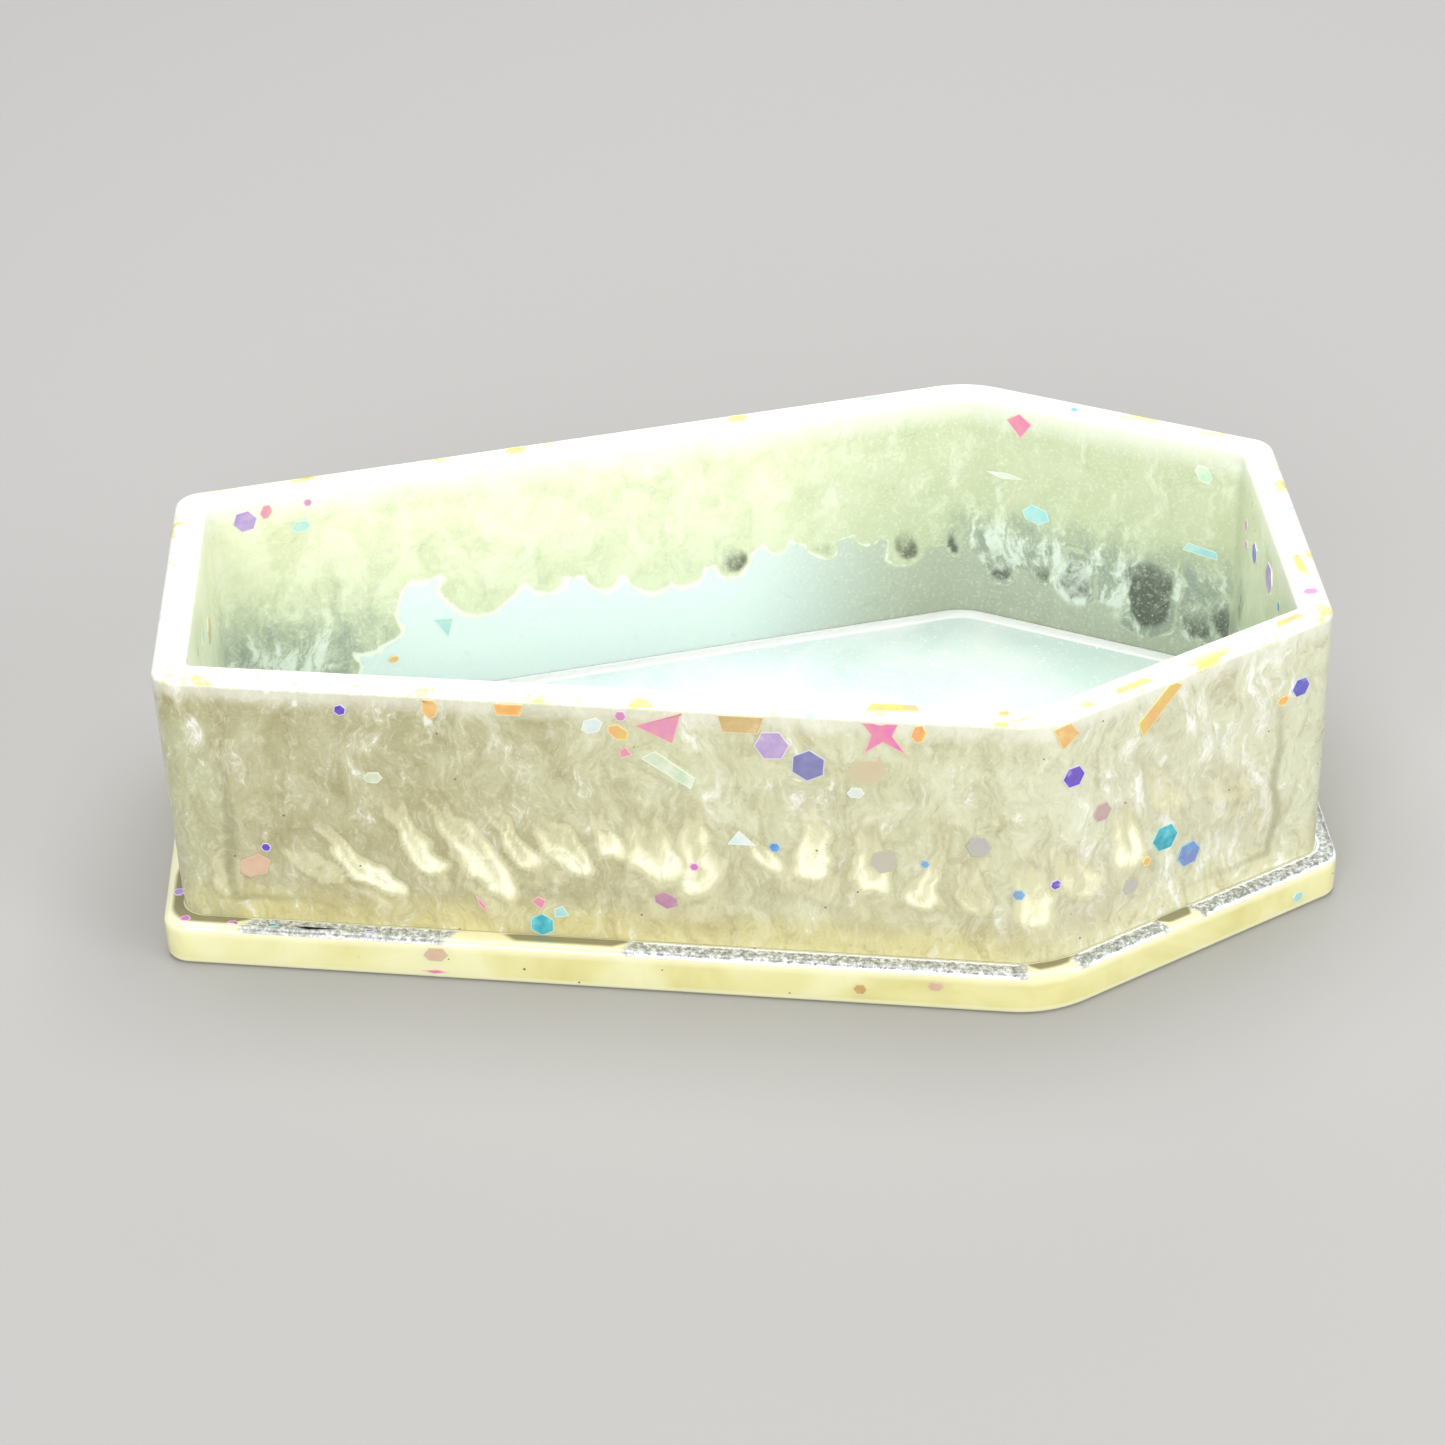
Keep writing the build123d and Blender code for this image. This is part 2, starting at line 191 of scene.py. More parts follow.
def corners(side, end):
    """Six corners, anticlockwise from the front foot, for arrays of side and end shifts."""
    long_rise = side * math.hypot(1, long_slope)
    short_rise = side * math.hypot(1, short_slope)
    shoulder_x = SHOULDER_X + (short_rise - long_rise) / (long_slope - short_slope)
    foot = np.stack([foot_x - end, FOOT_WIDTH / 2 - long_slope * end + long_rise], -1)
    shoulder_y = SHOULDER_WIDTH / 2 + long_slope * (shoulder_x - SHOULDER_X) + long_rise
    shoulder = np.stack([shoulder_x, shoulder_y], -1)
    head = np.stack([head_x + end, HEAD_WIDTH / 2 + short_slope * end + short_rise], -1)
    flip = np.array([1, -1])
    return np.stack([foot * flip, shoulder * flip, head * flip, head, shoulder, foot])


def unit(vectors):
    """Vectors over their own length."""
    return vectors / np.linalg.norm(vectors, axis=-1, keepdims=True)


def ring(side, end, shoulder_radius, end_radius):
    """Points round the outline, one row for each point and one column for each shift.

    A corner is an arc about a centre that lies one radius in from both sides: from its middle
    angle, a point is the centre, less the inward normal times the cosine, plus the incoming
    direction times the sine. A side is a straight blend between the arcs at its ends.
    """
    points = corners(side, end)
    ahead = unit(np.roll(points, -1, 0) - points)
    behind = np.roll(ahead, 1, 0)
    angle = np.arccos((ahead[:, 0] * behind[:, 0]).sum(-1))
    rows, arcs = [], []
    for index in range(6):
        radius = (shoulder_radius if index in (1, 4) else end_radius)[:, None]
        inward = behind[index] @ np.array([[0, 1], [-1, 0]])
        start = points[index] - behind[index] * radius * math.tan(angle[index] / 2)
        sweep = np.linspace(0, angle[index], ARC_STEPS + 1)[:, None, None]
        centre = start + inward * radius
        arcs.append(centre - inward * radius * np.cos(sweep) + behind[index] * radius * np.sin(sweep))
    for index in range(6):
        first, last = arcs[index][-1], arcs[(index + 1) % 6][0]
        steps = round(wall_lengths[index] / SPACING)
        share = (np.arange(1, steps) / steps)[:, None, None]
        rows += [arcs[index], first + (last - first) * share]
    return np.concatenate(rows)


step_corners = corners(np.array([SIDE_FLARE]), np.array([-END_TUCK]))[:, 0]
wall_lengths = np.linalg.norm(np.roll(step_corners, -1, 0) - step_corners, axis=1)
print("walls, mm:", np.round(wall_lengths, 1))

# %% [markdown]
# ## Patterns on the walls
# The mica hangs in the resin in clouds. Their shapes are worked out at every mesh point, from
# how far round the box it is and how high, and kept as attributes for the materials to read.
# Fine grain comes later, from the materials' own noise, so the mesh only has to carry what is
# larger than a millimetre.


# %% Smooth random fields
def ripples(around, height, size, seed, waves=14):
    """A smooth random field, mostly between -1 and 1: a sum of plane waves about size mm long."""
    random = np.random.default_rng(seed)
    total = np.zeros_like(around)
    for _ in range(waves):
        heading, phase = random.uniform(0, 2 * math.pi, 2)
        wave = size * random.uniform(0.6, 1.6)
        travel = around * math.cos(heading) + height * math.sin(heading)
        total += np.sin(travel * 2 * math.pi / wave + phase)
    return total / math.sqrt(waves)


def smooth(low, high, value):
    """0 below low, 1 above high and a smooth S between."""
    share = np.clip((value - low) / (high - low), 0, 1)
    return share * share * (3 - 2 * share)


# %% [markdown]
# ### Plumes in the outside of the walls
# Where heavy pearl sank through clear resin it left plumes: a bright rounded bulb, open and
# fading on the side it came from. Each is a bulb with a tail that narrows as it rises. Those in
# the front wall are listed one by one; the other walls get the same kind at random.

# %% Plumes
# Distance round the box, height of the bulb, half width, length of the tail, lean and strength.
PLUMES = [
    (5.3, 9.4, 1.3, 6, 0.0, 0.6), (14.6, 12.4, 2.0, 4, 0.9, 0.6), (20.6, 11.2, 1.6, 7, 0.9, 1.0),
    (26.6, 14.2, 1.6, 8, 0.6, 0.95), (33.4, 11.6, 1.8, 12, 0.55, 1.0), (37.0, 14.8, 1.4, 8, 0.6, 0.95),
    (41.6, 14.4, 1.5, 7, 0.5, 0.9), (46.0, 16.4, 1.4, 6, 0.3, 0.85), (50.3, 14.8, 2.0, 8, 0.1, 0.95),
    (54.9, 13.4, 1.9, 10, 0.05, 1.0), (61.2, 16.8, 1.6, 3, 1.1, 0.85), (66.8, 15.6, 1.3, 8, 0.1, 1.0),
    (72.4, 14.4, 1.9, 8, 0.1, 0.95), (77.6, 12.4, 1.1, 11, -0.2, 0.9), (82.6, 12.2, 1.3, 9, 0.1, 0.6),
    (88.4, 11.8, 1.6, 6, 0.1, 0.9), (94.0, 13.8, 1.9, 7, 0.6, 0.7), (100.2, 14.2, 1.5, 8, 0.25, 1.0),
    (104.6, 19.2, 1.6, 9, 0.5, 0.6), (112.6, 17.6, 2.4, 6, 0.7, 0.5), (118.0, 12.6, 1.8, 7, 0.4, 0.4),
]
# From past the last of these, nearly back to the start.
random = np.random.default_rng(11)
around = 128.0
while around < wall_lengths.sum() - 3:
    PLUMES.append((around, random.uniform(10, 17), random.uniform(1.3, 2.7), random.uniform(5, 11),
                   random.uniform(-0.5, 0.5), random.uniform(0.5, 1)))
    around += random.uniform(4.2, 7.5)


def plume_field(around, height):
    """Brightness of the plumes. A bulb falls off evenly across its round lower edge, is thinner
    in the middle, and rises into a tail that narrows and fades."""
    bright = np.zeros_like(around)
    drift = 0.5 * ripples(around, height, 8, 1) + 0.25 * ripples(around, height, 3, 2)
    lift = 0.5 * ripples(around, height, 9, 3) + 0.25 * ripples(around, height, 3.2, 4)
    for place, bulb, half_width, tail, lean, strength in PLUMES:
        # The bulb itself, and the wide faint one that hangs under it.
        for wider, lower, most in ((1.25, 0, strength), (2.1, 1.3 * half_width, 0.42 * strength)):
            up = height + lift - bulb + lower
            across = np.abs(around + drift - place + lean * np.clip(up, -2, tail)) / (half_width * wider)
            narrow = 1 - 0.5 * np.clip(up / tail, 0, 1)
            reach = np.where(up > 0, across / narrow, np.hypot(across, up / (half_width * wider * 1.1)))
            body = np.clip(1.5 - reach, 0, 1) * (0.64 + 0.36 * smooth(0.1, 0.75, reach))
            bright = np.maximum(bright, most * body * np.clip(1 - up / tail, 0, 1) ** 0.7)
    return bright


# %% [markdown]
# ### Drips inside the cavity
# Inside, the pearl ends in a row of hanging drips over a pale band. A drip is a capsule that
# hangs from the level of the band's edge, and the field is the distance to the nearest of them:
# negative in the pearl, positive in the band. The material then draws a bright line where it is
# zero, and the dark windows inside some of the drips.

# %% Drips
# Distance round the box, lowest point and half width of each drip, and how dark its tip is.
DRIPS = [
    (266.0, 19.6, 3.6, 0.1), (258.8, 14.3, 4.6, 0.25), (251.6, 15.8, 2.6, 0.3), (244.5, 15.0, 2.4, 0.1),
    (238.6, 13.7, 3.4, 0.25), (234.8, 13.9, 2.2, 0.2), (229.4, 14.2, 2.0, 0.85), (224.0, 16.4, 1.5, 0.2),
    (218.4, 14.7, 1.5, 0.45), (213.0, 15.8, 1.7, 0.1), (208.4, 12.3, 2.2, 0.9), (201.8, 12.5, 1.6, 1.0),
    (193.9, 9.6, 1.7, 0.8), (188.6, 11.0, 1.3, 0.6), (184.2, 9.2, 2.6, 0.9), (175.4, 7.0, 4.2, 1.0),
    (169.2, 7.8, 1.8, 0.75), (165.2, 8.2, 2.4, 0.95),
]
# At the foot the pearl runs down to the floor, and only its murk shows.
DRIPS += [(272.5, 11.5, 3.6, 0), (279, 5.5, 4.5, 0), (290, 4, 8, 0), (306, 4, 8, 0), (323, 4, 8, 0),
          (5, 4, 6, 0)]
# The inside of the front wall, at random.
around = 14.0
while around < 160:
    DRIPS.append((around, random.uniform(9, 14), random.uniform(2, 3.4), random.uniform(0.2, 1)))
    around += random.uniform(5, 8)
CUSP = 1.9                  # how far the pearl's edge rises between two drips, in mm


def drip_fields(around, height):
    """Distance below the edge of the pearl, negative in it, how dark the drip is, and the line
    round its window.

    The edge is a row of round tips under a line that joins them. A dark window is an oval
    inside a drip, with a soft edge, which fades towards its top.
    """
    bent = around + 0.5 * ripples(around, height, 6, 5)
    order = np.array(sorted(DRIPS)).T
    below = np.interp(bent, order[0], order[1] + CUSP) - height
    dark, outline = np.zeros_like(around), np.zeros_like(around)
    for place, lowest, half_width, shade in DRIPS:
        up = height - (lowest + half_width)
        below = np.minimum(below, np.hypot(bent - place, np.minimum(up, 0)) - half_width)
        oval = np.hypot((bent - place) / (0.8 * half_width), (up - 0.35 * half_width) / (1.15 * half_width))
        fade = smooth(0.5 + 0.6 * half_width, -0.8, up / half_width - 0.35)
        dark = np.maximum(dark, shade * smooth(1.15, 0.7, oval) * fade)
        outline = np.maximum(outline, shade * np.exp(-(((oval - 1.25) * half_width / 0.45) ** 2)))
    return below, dark, outline


def murk_field(around, height):
    """How cloudy the cavity's wall is: most towards the floor at the foot and the head end."""
    foot = np.maximum(smooth(250, 280, around), smooth(18, 2, around)) * smooth(31, 12, height)
    head = smooth(212, 196, around) * smooth(157, 167, around) * smooth(25, 15, height)
    return np.maximum(np.maximum(foot, head), 0.22 * smooth(26, 14, height))


print("plumes:", len(PLUMES), "drips:", len(DRIPS))

# %% [markdown]
# ### The cavity seen through the walls
# The walls are clear enough to show where the cavity ends inside them. Near each end of the box
# its upright corner and its floor show through as one soft dark line, bent like an L, and the
# solid resin beyond that line looks greener.

# %% Cavity line
CORNER_DEPTH = 6.4          # from an outside corner to where the cavity's corner shows
FLOOR_LINE = 7.4            # height at which the cavity's floor shows
LINE_WIDTH = 0.65


def cavity_fields(around, height):
    """How dark the cavity's outline is, and how solid the resin, at each point outside."""
    ends = np.cumsum(wall_lengths)[[1, 2, 5]]
    from_end = np.abs(around[..., None] - np.append(ends, 0)).min(-1) + 0.4 * ripples(around, height, 9, 7)
    beyond = CORNER_DEPTH - from_end
    below = FLOOR_LINE - height + 0.25 * ripples(around, height, 7, 8)
    in_corner, along_side = np.hypot(np.maximum(beyond, 0), below), np.abs(np.maximum(beyond, below))
    distance = np.where(below > 0, in_corner, along_side)
    line = np.exp(-((distance / LINE_WIDTH) ** 2)) * np.exp(-np.clip(from_end - CORNER_DEPTH, 0, None) / 13)
    line *= smooth(29, 18, height)
    return line, smooth(-0.5, 1.5, np.maximum(beyond, -9)) * smooth(32, 26, height)


# %% [markdown]
# ## The pours
# Each pour is a profile carried round the outline: up the outside of a wall, over the rim or
# the joint, down the inside and back. That gives a grid of points that joins up both ways. The
# walls lie a few hundredths of a millimetre inside the CAD walls, so that the film flakes,
# which are flush there, are seen on them.

# %% Profiles
INLAY = 0.08                # how far the pours lie inside the CAD surface, in mm
PLINTH_OUTSET, STEP_ROUND, FOOT_ROUND, FLOOR_BOTTOM = 2.1, 0.9, 0.6, 3.4


def profile(side, end, shoulder_radius, end_radius, z, depth):
    """Columns of a profile: side shift, end shift, the two radii, height and depth. The depth
    runs from 0 outside a wall to 1 inside it, or tells how far out the plinth is, in mm."""
    columns = np.broadcast_arrays(side, end, shoulder_radius, end_radius, z, depth)
    return np.array(columns, float).reshape(6, -1)


def outside_profile(low, high):
    """Up the outside: the walls flare towards the step and the ends tuck in."""
    z = np.linspace(low, high, round((high - low) / SPACING) + 1)
    drop = (HEIGHT - z) / (HEIGHT - STEP)
    return profile(SIDE_FLARE * drop - INLAY, -END_TUCK * drop - INLAY, SHOULDER_RADIUS, END_RADIUS, z, 0)


def inside_profile(low, high):
    """Down the wall of the cavity, which narrows towards its floor."""
    z = np.linspace(high, low, round((high - low) / SPACING) + 1)
    inset = WALL - INLAY + CAVITY_DRAFT * (HEIGHT - z) / (HEIGHT - STEP)
    return profile(-inset, -inset, SHOULDER_RADIUS - WALL, INSIDE_END_RADIUS, z, 1)


def joined(first, last, steps):
    """Straight columns between the end of one profile and the start of the next."""
    share = np.arange(1, steps) / steps
    return first[:, -1:] + (last[:, :1] - first[:, -1:]) * share


def quarter(column, radius, way, start, stop):
    """A quarter round: from a column, both shifts and radii move in by the radius times one
    less the cosine, and the height moves by way times the radius times the sine."""
    sweep = np.linspace(start, stop, 7)
    over = np.repeat(column, len(sweep), 1)
    over[:2] -= radius * (1 - np.cos(sweep))
    over[2:4] -= abs(radius) * (1 - np.cos(sweep))
    over[4] += way * abs(radius) * np.sin(sweep)
    return over


def distance_round():
    """How far round the box each row of a ring lies, in mm, at the height of the step."""
    ahead = unit(np.roll(step_corners, -1, 0) - step_corners)
    angle = np.arccos((ahead * np.roll(ahead, 1, 0)).sum(-1))
    reach = np.tan(angle / 2) * ([END_RADIUS, SHOULDER_RADIUS, END_RADIUS] * 2)
    starts = np.cumsum(wall_lengths) - wall_lengths
    rows = []
    for start, length, first, last in zip(starts, wall_lengths, reach, np.roll(reach, -1)):
        steps = round(length / SPACING)
        share = np.arange(1, steps) / steps
        rows += [start + np.linspace(-first, first, ARC_STEPS + 1)]
        rows += [start + first + (length - first - last) * share]
    return np.concatenate(rows)


def pour_mesh(name, columns, fields, capped=False):
    """A closed mesh from a profile: a ring that joins up, or a slab capped at both ends."""
    side, end, shoulder_radius, end_radius, z, depth = columns
    flat = ring(side, end, shoulder_radius, end_radius)
    rows, count = flat.shape[:2]
    points = np.dstack([flat, np.broadcast_to(z, (rows, count))])
    around = np.broadcast_to(distance_round()[:, None], (rows, count))
    row, column = np.meshgrid(np.arange(rows), np.arange(count - capped), indexing="ij")
    here, ahead = row * count, (row + 1) % rows * count
    after = (column + 1) % count
    quads = np.stack([here + column, ahead + column, ahead + after, here + after], -1)
    quads = quads.reshape(-1, 4).tolist()
    if capped:
        first = np.arange(rows) * count
        quads += [first[::-1].tolist(), (first + count - 1).tolist()]
    mesh = bpy.data.meshes.new(name)
    mesh.from_pydata((points.reshape(-1, 3) * MM).tolist(), [], quads)
    for field, values in fields(around, points[..., 2], np.broadcast_to(depth, (rows, count))).items():
        mesh.attributes.new(field, "FLOAT", "POINT").data.foreach_set("value", values.ravel().astype("f"))
    mesh.polygons.foreach_set("use_smooth", [True] * len(mesh.polygons))
    mesh.set_sharp_from_angle(angle=math.radians(40))
    made = bpy.data.objects.new(name, mesh)
    bpy.context.collection.objects.link(made)
    print(name, len(mesh.polygons), "faces")
    return made


def stand_for(piece, node):
    """The piece rides with the box and takes the place of one CAD node, which is hidden."""
    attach(piece, "root")
    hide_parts(node)


# %% [markdown]
# ### Rim pour and swirl pour
# Two rings of wall, which meet where the swirled resin was poured on to the set rim. Both carry
# the same patterns, so the swirls run across the joint.


# %% Rim and swirl rings
def wall_fields(around, height, depth):
    """Every pattern of the walls. The resin is more silvery at the shoulder, greyer at the head."""
    below, dark, outline = drip_fields(around, height)
    line, solid = cavity_fields(around, height)
    silver = smooth(80, 95, around) * smooth(130, 120, around) + 0.6 * smooth(200, 205, around)
    return {"inside": depth, "plume": plume_field(around, height), "below": below, "dark": dark,
            "outline": outline, "murk": murk_field(around, height), "line": line, "solid": solid,
            "silver": silver, "head": smooth(232, 205, around) * smooth(150, 165, around)}


flat_top = HEIGHT - RIM_ROUND - INLAY
outer, inner = outside_profile(SWIRL_TOP, flat_top), inside_profile(SWIRL_TOP, flat_top)
over_out = quarter(outer[:, -1:], RIM_ROUND, 1, 0.2, math.pi / 2)
over_in = quarter(inner[:, :1], -RIM_ROUND, 1, 0.2, math.pi / 2)[:, ::-1]
flat_rim, joint = joined(over_out, over_in, 4), joined(inner, outer, 3)
rim_profile = np.hstack([outer, over_out, flat_rim, over_in, inner, joint])
outer, inner = outside_profile(STEP, SWIRL_TOP), inside_profile(STEP, SWIRL_TOP)
swirl_profile = np.hstack([outer, joined(outer, inner, 3), inner, joined(inner, outer, 3)])
rim = pour_mesh("rim_ring", rim_profile, wall_fields)
swirl = pour_mesh("swirl_ring", swirl_profile, wall_fields)
stand_for(rim, "rim_pour")
stand_for(swirl, "swirl_pour")

# %% [markdown]
# ### Plinth
# A slab under the walls that stands out round them as a narrow step. Its profile runs under
# the walls, out over the step, down the side and under the foot. The step was cast against a
# scuffed ledge of the mould: it is silver where it is rough, which is scuff with a painted
# sheen, and where it is clear it is painted dark, as a painted reflection. Both go up and down
# between the distances round the box in two tables, and the silver's edges get painted
# highlight lines.

# %% Plinth slab
# How silvery (scuff with a painted sheen) and how dark (painted dark reflection) the step is, at distances
# round the box.
SILVER = [(0, 0), (6, 0.1), (9, 0.8), (28, 0.9), (31, 0.1), (46, 0.1), (49, 1), (87, 1), (89, 0),
          (92, 0.2), (94, 1), (103, 1), (104.5, 0), (107, 0), (108.5, 1), (160, 1), (166, 0.2),
          (190, 0.9), (232, 0.3), (250, 1), (322, 0)]
DARK_REFLECTION = [(0, 0.9), (6, 0.9), (9, 0.1), (33, 0.1), (36, 0.9), (46, 0.9), (49, 0), (87, 0), (89, 0.9),
        (92, 0.8), (94, 0.1), (103, 0.1), (104.5, 1), (107, 1), (108.5, 0.1), (150, 0), (164, 0.8),
        (176, 0.1), (228, 0.1), (238, 0.7), (250, 0.1), (312, 0.1), (322, 0.9)]


def plinth_fields(around, height, depth):
    """The two tables read round the box, outside the walls only, and how far out each point is."""
    silver, dark = (np.interp(around, *np.array(table, float).T) * (depth >= 0) for table in (SILVER, DARK_REFLECTION))
    return {"silver": silver, "dark": dark, "out": depth}


def plinth_columns():
    """Under the walls, out over the step, round its edge, down the side and round the foot."""
    out = np.append([-2.5], np.linspace(-0.1, PLINTH_OUTSET - STEP_ROUND, 6))
    step = profile(SIDE_FLARE + out, -END_TUCK + out, SHOULDER_RADIUS + np.maximum(out, -2),
                   END_RADIUS, STEP - INLAY, out)
    edge = profile(SIDE_FLARE + PLINTH_OUTSET - INLAY, PLINTH_OUTSET - END_TUCK - INLAY,
                   SHOULDER_RADIUS + PLINTH_OUTSET, END_RADIUS, STEP - INLAY - STEP_ROUND, PLINTH_OUTSET)
    over = quarter(edge, STEP_ROUND, 1, math.pi / 2, 0)[:, 1:]
    over[5] -= STEP_ROUND * (1 - np.cos(np.linspace(math.pi / 2, 0, 7)[1:]))
    foot = edge.copy()
    foot[4] = FOOT_ROUND
    under = quarter(foot, FOOT_ROUND, -1, 0, math.pi / 2)
    low = step[:, :1].copy()
    low[4] = FLOOR_BOTTOM - INLAY
    return np.hstack([low, step, over, joined(over, foot, 5), under])[:, ::-1]


plinth = pour_mesh("plinth_slab", plinth_columns(), plinth_fields, capped=True)
stand_for(plinth, "plinth_pour")

# %% [markdown]
# ## Pearl resin
# Epoxy resin stirred with pearl mica, cast against polished silicone. It is glossy, and its
# colour goes from khaki to cream with how much mica the light meets. The plumes, drips and
# lines come from the mesh. Noise read through other noise bends them and fills them with the
# brushed wisps of stirred mica, so every noise that the colours need is made first.

# %% Stirred mica
# Sizes in mm: of a swirl and how far it carries, of clouds, wisps, fine wisps, threads and grain.
CURL, SWIRL, CLOUD, WISP, FINE, THREAD, GRAIN = 6.0, 7.0, 4.5, 2.4, 0.8, 1.5, 0.4
PINHOLES = 3.2              # distance between pinholes, in mm
WALL_FIELDS = ("inside", "plume", "below", "dark", "outline", "murk", "line", "solid", "silver", "head")


def stirred_mica(tree):
    """Every pattern that the resin's colours read, by name: the mesh's own and the noises."""
    mica = {name: add(tree, "Attribute", attribute_name=name).outputs["Fac"] for name in WALL_FIELDS}
    place = add(tree, "TexCoord").outputs["Object"]
    parts = add(tree, "SeparateXYZ", {0: place})
    mica["along"], mica["height"] = parts.outputs["X"], parts.outputs["Z"]
    # The swirl moves every point by up to a few millimetres before the finer noises are read.
    curl = add(tree, "TexNoise", {"Vector": place, "Scale": 1 / (CURL * MM), "Detail": 3.0})
    shift = add(tree, "VectorMath", {0: curl.outputs["Color"], 1: (0.5, 0.5, 0.5)}, operation="SUBTRACT")
    reach = (SWIRL * MM, SWIRL * MM, SWIRL * MM)
    moved = add(tree, "VectorMath", {0: shift, 1: reach, 2: place}, operation="MULTIPLY_ADD")
    drawn = add(tree, "Mapping", {"Vector": moved, "Rotation": (0.0, 0.7, 0.0), "Scale": (1.0, 1.0, 0.3)})
    hung = add(tree, "Mapping", {"Vector": moved, "Scale": (1.0, 1.0, 0.22)})
    # Where each noise is read, its size in mm, and its detail and roughness.
    noises = {
        "clouds": (moved, CLOUD, 9.0, 0.66),
        "wisps": (drawn, WISP, 7.0, 0.7),
        "fine": (drawn, FINE, 4.0, 0.6),
        "threads": (hung, THREAD, 5.0, 0.65),
        "grain": (place, GRAIN, 3.0, 0.7),
    }
    for name, (where, size, detail, roughness) in noises.items():
        settings = {"Vector": where, "Scale": 1 / (size * MM), "Detail": detail, "Roughness": roughness}
        mica[name] = add(tree, "TexNoise", settings)
    mica["holes"] = add(tree, "TexVoronoi", {"Vector": place, "Scale": 1 / (PINHOLES * MM)})
    mica["torn"] = add(tree, "Math", {0: mica["threads"], 1: 1.2, 2: 0.4}, operation="MULTIPLY_ADD")
    return mica


# %% [markdown]
# ### Outside
# Khaki where there is little mica and cream where there is much, yellower near the plinth,
# which shines through. Each layer of the list is one thing seen in the wall.

# %% Outside of the walls


def outside_colour(tree, mica):
    """Clouds, then wisps, plumes, fine strokes, the cavity's outline and pinholes over them."""
    plume = add(tree, "Math", {0: mica["plume"], 1: mica["torn"]}, operation="MULTIPLY")
    streak = add(tree, "Math", {0: mica["silver"], 1: mica["wisps"]}, operation="MULTIPLY")
    # Painted highlight: the top of the outside wall turns pale just under the rim's round edge.
    rim_edge_highlight = add(tree, "Math", {0: mica["clouds"], 1: 2.5 * MM, 2: mica["height"]}, operation="MULTIPLY_ADD")
    khaki = add(tree, "ValToRGB", {0: mica["clouds"]}, [(0.34, "#AEA87C"), (0.44, "#BFBC92"),
                                                        (0.54, "#CDCCA4"), (0.68, "#DFE1C2")])
    return paint(tree, khaki, [
        (mica["along"], 0.0, -40 * MM, 0.45, "#A19A70"),
        (mica["along"], -30 * MM, 5 * MM, 0.35, "#DADDBE"),
        (mica["height"], 10.5 * MM, 6.5 * MM, 0.7, "#DCD18C"),
        (mica["solid"], 0.0, 1.0, 0.4, "#C1C8A4"),
        (mica["silver"], 0.0, 1.0, 0.45, "#E0E3CA"),
        (mica["wisps"], 0.5, 0.68, 0.45, "#ECEDD4"),
        (mica["wisps"], 0.47, 0.34, 0.4, "#A2986C"),
        (mica["wisps"], 0.6, 0.7, 0.7, "#FBFDF8"),
        (streak, 0.5, 0.66, 0.75, "#FBFDF6"),
        (plume, 0.06, 0.24, 0.3, "#ADA276"),
        (plume, 0.26, 0.4, 0.6, "#DFDCB2"),
        (plume, 0.44, 0.64, 0.85, "#F2F0CA"),
        (plume, 0.58, 0.82, 0.95, "#FFFFE4"),
        (mica["fine"], 0.53, 0.68, 0.25, "#F4F4E0"),
        (mica["fine"], 0.46, 0.32, 0.25, "#9E9469"),
        (rim_edge_highlight, 31.6 * MM, 33.6 * MM, 0.5, "#F4F5E8"),
        (mica["grain"], 0.54, 0.7, 0.15, "#F6F5E4"),
        (mica["line"], 0.15, 1.0, 0.45, "#84845F"),
        (mica["holes"], 0.05, 0.03, 0.8, "#5E4E2C"),
    ])


# %% [markdown]
# ### Inside
# The cavity's wall is lemon above and turns to a pale band below the drips, with a bright line
# where they end. The drips' dark windows are clear resin that shows the shade behind it.

# %% Inside of the walls


def inside_colour(tree, mica):
    """Lemon clouds, then murk, dark windows, the pale band, its bright edge and sparks."""
    lemon_stops = [(0.35, "#DDDFBA"), (0.5, "#E7E9C6"), (0.65, "#EFF1D4")]
    lemon = add(tree, "ValToRGB", {0: mica["clouds"]}, lemon_stops)
    stirred = add(tree, "Math", {0: mica["wisps"], 1: -2.2, 2: 1.9}, operation="MULTIPLY_ADD")
    stirred = add(tree, "Math", {0: stirred, 1: mica["murk"]}, operation="MULTIPLY")
    edge = add(tree, "Math", {0: mica["below"]}, operation="ABSOLUTE")
    edge = add(tree, "Math", {0: mica["head"], 1: 0.35, 2: edge}, operation="MULTIPLY_ADD")
    faded = add(tree, "Math", {0: mica["threads"], 1: -1.5, 2: edge}, operation="MULTIPLY_ADD")
    speckled = add(tree, "Math", {0: mica["wisps"], 1: -2.0, 2: 1.9}, operation="MULTIPLY_ADD")
    speckled = add(tree, "Math", {0: mica["dark"], 1: speckled}, operation="MULTIPLY")
    rimmed = add(tree, "Math", {0: mica["outline"], 1: mica["torn"]}, operation="MULTIPLY")
    lit = add(tree, "Math", {0: mica["wisps"], 1: mica["murk"]}, operation="MULTIPLY")
    sparks = add(tree, "Math", {0: mica["dark"], 1: mica["grain"]}, operation="MULTIPLY")
    band = add(tree, "Mix", {0: mica["head"], 6: linear("#E4F4F5"), 7: linear("#B7BEAA")}, data_type="RGBA")
    return paint(tree, lemon, [
        (mica["height"], 28 * MM, 14 * MM, 0.5, "#D8E2BE"),
        (mica["head"], 0.0, 1.0, 0.6, "#BBC39E"),
        (mica["clouds"], 0.56, 0.4, 0.3, "#C5CEA6"),
        (stirred, 0.25, 1.2, 0.85, "#8A9890"),
        (mica["wisps"], 0.5, 0.68, 0.5, "#F1F6E2"),
        (lit, 0.45, 0.6, 0.8, "#EAF3EC"),
        (rimmed, 0.4, 1.0, 0.6, "#CDD4B6"),
        (speckled, 0.15, 0.95, 0.9, "#505244"),
        (mica["below"], -0.3, 0.6, 0.92, band.outputs[2]),
        (faded, -0.3, -0.7, 0.8, "#FCFFF4"),
        (mica["grain"], 0.5, 0.7, 0.3, "#FAFDF0"),
        (sparks, 0.6, 0.68, 0.85, "#FFFFFF"),
    ])


